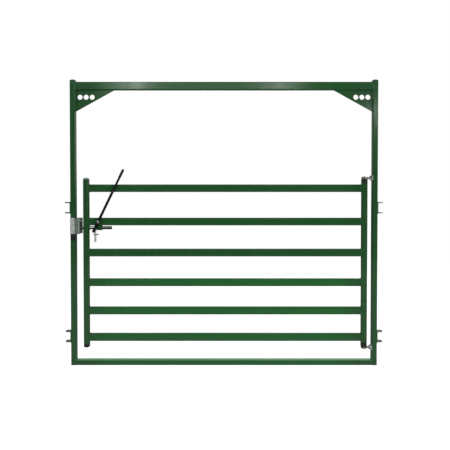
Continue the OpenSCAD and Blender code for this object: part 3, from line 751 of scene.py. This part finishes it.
# Enamel laid on by brush: a deep black whose gloss varies with the strokes.
lever_black, tree = start_finish("gloss_enamel_black")
place = add(tree, "ShaderNodeTexCoord").outputs["Object"]
brush = add(tree, "ShaderNodeTexNoise", {"Vector": place, "Scale": 1 / 0.03, "Detail": 5.0})
tone = add(tree, "ShaderNodeMix",
           {"Factor": brush.outputs["Fac"], 6: linear("#050605"), 7: linear("#0f100f")},
           data_type="RGBA")
gloss = add(tree, "ShaderNodeMapRange", {"Value": brush.outputs["Fac"], "To Min": 0.2, "To Max": 0.38})
peel = add(tree, "ShaderNodeTexNoise", {"Vector": place, "Scale": PEEL, "Detail": 1.0})
skin = add(tree, "ShaderNodeBump",
           {"Height": peel.outputs["Fac"], "Strength": 0.15, "Distance": 0.0003})
face = add(tree, "ShaderNodeBsdfPrincipled",
           {"Base Color": tone.outputs[2], "Roughness": gloss.outputs[0], "Normal": skin.outputs[0],
            "Specular IOR Level": 0.25})
add(tree, "ShaderNodeOutputMaterial", {"Surface": face.outputs[0]})
coat(lever_black, "lever_foot", "lever_sleeve", "lever_bar")

pivot = Vector(next(j for j in frame["joints"] if j["name"] == "lever_turn")["pos_m"])
grip_low, grip_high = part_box("lever_grip")
grip_r = (grip_high.y - grip_low.y) / 2
grip_end = Vector((grip_high.x - grip_r, pivot.y, grip_high.z - grip_r))  # middle of its round end
up_lever = (grip_end - pivot).normalized()
across = np.array((up_lever.z, 0, -up_lever.x))
sleeve_low, sleeve_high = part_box("lever_sleeve")
sleeve_r = (sleeve_high.y - sleeve_low.y) / 2
foot_low, foot_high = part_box("lever_foot")


def lever_point(length, forward=0.0):
    """Place on the lever's middle line, or forward of it."""
    return np.array(pivot) + np.array(up_lever) * length + np.array((0, -forward, 0))


def lever_length(z, r, end):
    """Distance up the lever to the end of a round length of radius r whose box ends at z:
    z = pivot + length cos(lean) + end r sin(lean)."""
    return (z - pivot.z - end * r * up_lever.x) / up_lever.z


sleeve_start = lever_length(sleeve_low.z, sleeve_r, -1)
sleeve_end = lever_length(sleeve_high.z, sleeve_r, 1)
bar_r = sleeve_r - SLEEVE_WALL
lever_welds = [foot_weld(lever_point(sleeve_end), up_lever, across, bar_r, 0, leg=0.0015)]
for way in (-1, 1):
    foot_face = way * (foot_high.y - foot_low.y) / 2
    under_tube = [line(lever_point(sleeve_start + rise, foot_face + way * out) - SEAM_HALF * across,
                       lever_point(sleeve_start + rise, foot_face + way * out) + SEAM_HALF * across)
                  for rise, out in ((0.0008, -0.001), (-0.006, -0.0001), (0.0002, 0.0055))]
    crown = -0.0012 * np.array(up_lever) + [0, -way * 0.0012, 0]
    lever_welds.append(weld(*under_tube, np.tile(crown, (2, 1))))
piece("lever_welds", lever_welds, lever_black, "lever")

# The roll pin is a little longer than the tube is thick, and its ends are bevelled.
PIN_R, PIN_BORE_R, PIN_SET, PIN_BEVEL = 0.003, 0.0016, 0.020, 0.0005
half_pin = sleeve_r + 0.0002
roll_pin = [turned([(0, PIN_BORE_R), (0, PIN_R - PIN_BEVEL), (PIN_BEVEL, PIN_R),
                    (2 * half_pin - PIN_BEVEL, PIN_R), (2 * half_pin, PIN_R - PIN_BEVEL),
                    (2 * half_pin, PIN_BORE_R)],
                   lever_point(sleeve_end - PIN_SET, -half_pin), (0, -1, 0), around=24)]
piece("roll_pin", roll_pin, bolt_zinc, "lever")

# Vinyl is a soft grey black with a dull sheen, scuffed by hands.
grip_vinyl, tree = start_finish("dipped_vinyl_black")
place = add(tree, "ShaderNodeTexCoord").outputs["Object"]
patches = add(tree, "ShaderNodeTexNoise", {"Vector": place, "Scale": 1 / 0.008, "Detail": 6.0})
tone = add(tree, "ShaderNodeMix",
           {"Factor": patches.outputs["Fac"], 6: linear("#0c0c0d"), 7: linear("#1c1c1d")},
           data_type="RGBA")
grain = add(tree, "ShaderNodeTexNoise", {"Vector": place, "Scale": 1 / 0.0012, "Detail": 2.0})
skin = add(tree, "ShaderNodeBump",
           {"Height": grain.outputs["Fac"], "Strength": 0.3, "Distance": 0.0002})
face = add(tree, "ShaderNodeBsdfPrincipled",
           {"Base Color": tone.outputs[2], "Roughness": 0.5, "Normal": skin.outputs[0],
            "Specular IOR Level": 0.3})
add(tree, "ShaderNodeOutputMaterial", {"Surface": face.outputs[0]})

# Between its rim and its round end, a half sphere, the sleeve's side is
# r = R - depth (1 - |cos(pi (d - rim) / pitch)|^0.5): broad ribs with narrow grooves.
RIB_PITCH, RIB_DEPTH, RIM = 0.006, 0.0009, 0.004
grip_start = lever_length(grip_low.z, grip_r, -1)
side_len = (grip_end - pivot).length - grip_start
d = np.linspace(RIM, side_len - RIM, 181)
ribs = grip_r - RIB_DEPTH * (1 - np.abs(np.cos(np.pi * (d - RIM) / RIB_PITCH)) ** 0.5)
t = np.linspace(0, np.pi / 2 * 0.98, 14)
grip_profile = ([(0, bar_r - 0.0005), (0, grip_r - 0.001), (0.001, grip_r), (RIM - 0.0005, grip_r)]
                + list(zip(d, ribs))
                + list(zip(side_len + grip_r * np.sin(t), grip_r * np.cos(t))))
grip = piece("grip_sleeve", [turned(grip_profile, lever_point(grip_start), up_lever)],
             grip_vinyl, "lever")
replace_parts(grip, "lever_grip")

# ---- Studio -------------------------------------------------------------------------
# A pale floor that fades into white. Reflections alone see a dim room, a grey flag behind
# and grey cloths on the floor. Broad lamps stand on both sides and behind, and small ones
# over the camera put glints on the header and on the hinge post's top.

# The floor keeps the gate's shadow near by and glows plain white far off. Reflections see it
# dimmed, as if shaded by the gate's surroundings.
floor_mat, tree = start_finish("studio_floor_matt_white")
place = add(tree, "ShaderNodeTexCoord").outputs["Object"]
seen = add(tree, "ShaderNodeLightPath")
mirrored = add(tree, "ShaderNodeMath",
               {0: seen.outputs["Is Glossy Ray"], 1: seen.outputs["Is Transmission Ray"]},
               operation="MAXIMUM")
dimmed = add(tree, "ShaderNodeMath", {0: mirrored.outputs[0], 1: 0.25}, operation="MULTIPLY")
lift = add(tree, "ShaderNodeMath", {0: seen.outputs["Is Camera Ray"], 1: 0.58, 2: dimmed.outputs[0]},
           operation="MULTIPLY_ADD")
paper = add(tree, "ShaderNodeBsdfDiffuse", {"Color": linear("#e6e6e6")})
glow = add(tree, "ShaderNodeEmission", {"Color": (1, 1, 1, 1), "Strength": lift.outputs[0]})
near = add(tree, "ShaderNodeAddShader", {0: paper.outputs[0], 1: glow.outputs[0]})
white = add(tree, "ShaderNodeEmission", {"Color": (1, 1, 1, 1), "Strength": 1.0})
distance = add(tree, "ShaderNodeVectorMath", {0: place}, operation="LENGTH")
fade = add(tree, "ShaderNodeMapRange",
           {"Value": distance.outputs["Value"], "From Min": 3.0, "From Max": 9.0},
           interpolation_type="SMOOTHSTEP")
floor_face = add(tree, "ShaderNodeMixShader",
                 {0: fade.outputs[0], 1: near.outputs[0], 2: white.outputs[0]})
add(tree, "ShaderNodeOutputMaterial", {"Surface": floor_face.outputs[0]})


def card(name, quads, material, glossy_only=True):
    """Flat studio card made of four-cornered panels. All but the floor are there for
    reflections alone."""
    corners = np.array(quads, float).reshape(-1, 3)
    mesh = bpy.data.meshes.new(name)
    mesh.from_pydata(corners.tolist(), [], np.arange(len(corners)).reshape(-1, 4).tolist())
    mesh.materials.append(material)
    made = bpy.data.objects.new(name, mesh)
    bpy.context.scene.collection.objects.link(made)
    if glossy_only:
        made.visible_camera = made.visible_diffuse = False
        made.visible_shadow = made.visible_transmission = False


def level_panel(width, front, back, z):
    """A level panel, width to either side of the middle and from front to back."""
    return [(-width, front, z), (width, front, z), (width, back, z), (-width, back, z)]


FLOOR, ABOVE, CLOTH_Z = 30.0, 0.01, 0.005  # walls start above the floor and its cloths
card("studio_floor", [level_panel(FLOOR, -FLOOR, FLOOR, 0)], floor_mat, glossy_only=False)

room_dim, tree = start_finish("studio_room_dim_grey")
dim = add(tree, "ShaderNodeEmission", {"Color": (1, 1, 1, 1), "Strength": 0.05})
add(tree, "ShaderNodeOutputMaterial", {"Surface": dim.outputs[0]})
W, FRONT, TOP, BACK = 12.0, -11.0, 8.0, 1.5  # half the room's width, its front, ceiling and back
card("studio_room", [
    [(-W, FRONT, ABOVE), (W, FRONT, ABOVE), (W, FRONT, TOP), (-W, FRONT, TOP)],
    level_panel(W, FRONT, BACK, TOP),
    [(-W, FRONT, ABOVE), (-W, BACK, ABOVE), (-W, BACK, TOP), (-W, FRONT, TOP)],
    [(W, FRONT, ABOVE), (W, BACK, ABOVE), (W, BACK, TOP), (W, FRONT, TOP)]], room_dim)

# The flag behind the gate is dark below and grey above, paler on the right.
FLAG_HALF, FLAG_Y, FLAG_TOP = 9.0, 6.0, 5.0
flag_grey, tree = start_finish("studio_flag_grey")
place = add(tree, "ShaderNodeTexCoord").outputs["Object"]
xyz = add(tree, "ShaderNodeSeparateXYZ", {"Vector": place})
left_rise = add(tree, "ShaderNodeMapRange",
                {"Value": xyz.outputs["Z"], "From Min": 1.3, "From Max": 2.2,
                 "To Min": 0.0, "To Max": 0.33}, interpolation_type="SMOOTHSTEP")
right_rise = add(tree, "ShaderNodeMapRange",
                 {"Value": xyz.outputs["Z"], "From Min": 1.2, "From Max": 2.8,
                  "To Min": 0.02, "To Max": 0.75}, interpolation_type="SMOOTHSTEP")
rightward = add(tree, "ShaderNodeMapRange",
                {"Value": xyz.outputs["X"], "From Min": -0.5, "From Max": 1.0},
                interpolation_type="SMOOTHSTEP")
tone = add(tree, "ShaderNodeMix",
           {"Factor": rightward.outputs[0], 2: left_rise.outputs[0], 3: right_rise.outputs[0]})
dim = add(tree, "ShaderNodeEmission", {"Color": (1, 1, 1, 1), "Strength": tone.outputs[0]})
add(tree, "ShaderNodeOutputMaterial", {"Surface": dim.outputs[0]})
card("studio_flag", [
    [(-FLAG_HALF, FLAG_Y, ABOVE), (FLAG_HALF, FLAG_Y, ABOVE), (FLAG_HALF, FLAG_Y, FLAG_TOP),
     (-FLAG_HALF, FLAG_Y, FLAG_TOP)]], flag_grey)

# The cloth under the gate is darker behind it; the one in front is as dim as the room.
CLOTH_FRONT = -5.0
cloth_grey, tree = start_finish("studio_floor_cloth_grey")
place = add(tree, "ShaderNodeTexCoord").outputs["Object"]
xyz = add(tree, "ShaderNodeSeparateXYZ", {"Vector": place})
behind = add(tree, "ShaderNodeMapRange",
             {"Value": xyz.outputs["Y"], "From Min": -0.1, "From Max": 0.3, "To Min": 0.6, "To Max": 0.24})
dim = add(tree, "ShaderNodeEmission", {"Color": (1, 1, 1, 1), "Strength": behind.outputs[0]})
add(tree, "ShaderNodeOutputMaterial", {"Surface": dim.outputs[0]})
card("studio_floor_cloth", [level_panel(W, CLOTH_FRONT, FLAG_Y, CLOTH_Z)], cloth_grey)
card("studio_front_cloth", [level_panel(W, FRONT, CLOTH_FRONT, CLOTH_Z)], room_dim)

# The surround is plain white where it is seen or mirrored, and lights the gate less brightly.
surround = bpy.data.worlds.new("studio_surround")
bpy.context.scene.world = surround
surround.use_nodes = True
tree = surround.node_tree
tree.nodes.clear()
seen = add(tree, "ShaderNodeLightPath")
shiny = add(tree, "ShaderNodeMath",
            {0: seen.outputs["Is Camera Ray"], 1: seen.outputs["Is Glossy Ray"]}, operation="MAXIMUM")
lit = add(tree, "ShaderNodeMath", {0: shiny.outputs[0], 1: seen.outputs["Is Transmission Ray"]},
          operation="MAXIMUM")
level = add(tree, "ShaderNodeMapRange", {"Value": lit.outputs[0], "To Min": 0.38, "To Max": 1.0})
sky = add(tree, "ShaderNodeBackground", {"Color": (1, 1, 1, 1), "Strength": level.outputs[0]})
add(tree, "ShaderNodeOutputWorld", {"Surface": sky.outputs[0]})


def softbox(name, where, aim, width, height, power):
    """Area lamp at a place, turned to face another."""
    data = bpy.data.lights.new(name, "AREA")
    data.shape, data.size, data.size_y, data.energy = "RECTANGLE", width, height, power
    lamp = bpy.data.objects.new(name, data)
    lamp.location = where
    lamp.rotation_euler = (Vector(aim) - Vector(where)).to_track_quat("-Z", "Y").to_euler()
    lamp.visible_camera = False
    bpy.context.scene.collection.objects.link(lamp)


softbox("key_softbox", (8.0, -5.5, 2.8), (0, 0, 1.3), 3.0, 3.0, 460)
softbox("fill_softbox", (-6.0, -5.0, 6.5), (0, 0, 1.3), 3.0, 3.0, 300)
softbox("back_softbox", (5.0, 7.0, 4.5), (0, 0, 1.3), 2.5, 2.5, 110)
softbox("header_glint_left", (-1.8, -4.1, 3.81), (-0.9, 0, 2.78), 0.45, 0.5, 10)
softbox("header_glint_right", (1.12, -4.1, 3.81), (0.56, 0, 2.78), 0.5, 0.5, 9)
softbox("header_bank", (-0.5, -4.2, 3.9), (0, 0, 2.78), 3.8, 0.5, 16)
softbox("post_glint", (3.06, -4.1, 3.26), (1.5, 0, 2.5), 0.15, 0.2, 6)

# The camera stands in front at eye height and looks down by a degree.
camera = bpy.data.objects.new("camera", bpy.data.cameras.new("camera"))
camera.data.sensor_width = 36.0
camera.data.lens = 33.02
camera.data.shift_y = -0.0624
camera.location = (0.010, -4.112, 1.742)
camera.rotation_euler = (np.radians(90 - 0.9), 0, 0)
bpy.context.scene.collection.objects.link(camera)
bpy.context.scene.camera = camera
bpy.context.scene.view_settings.view_transform = "Standard"
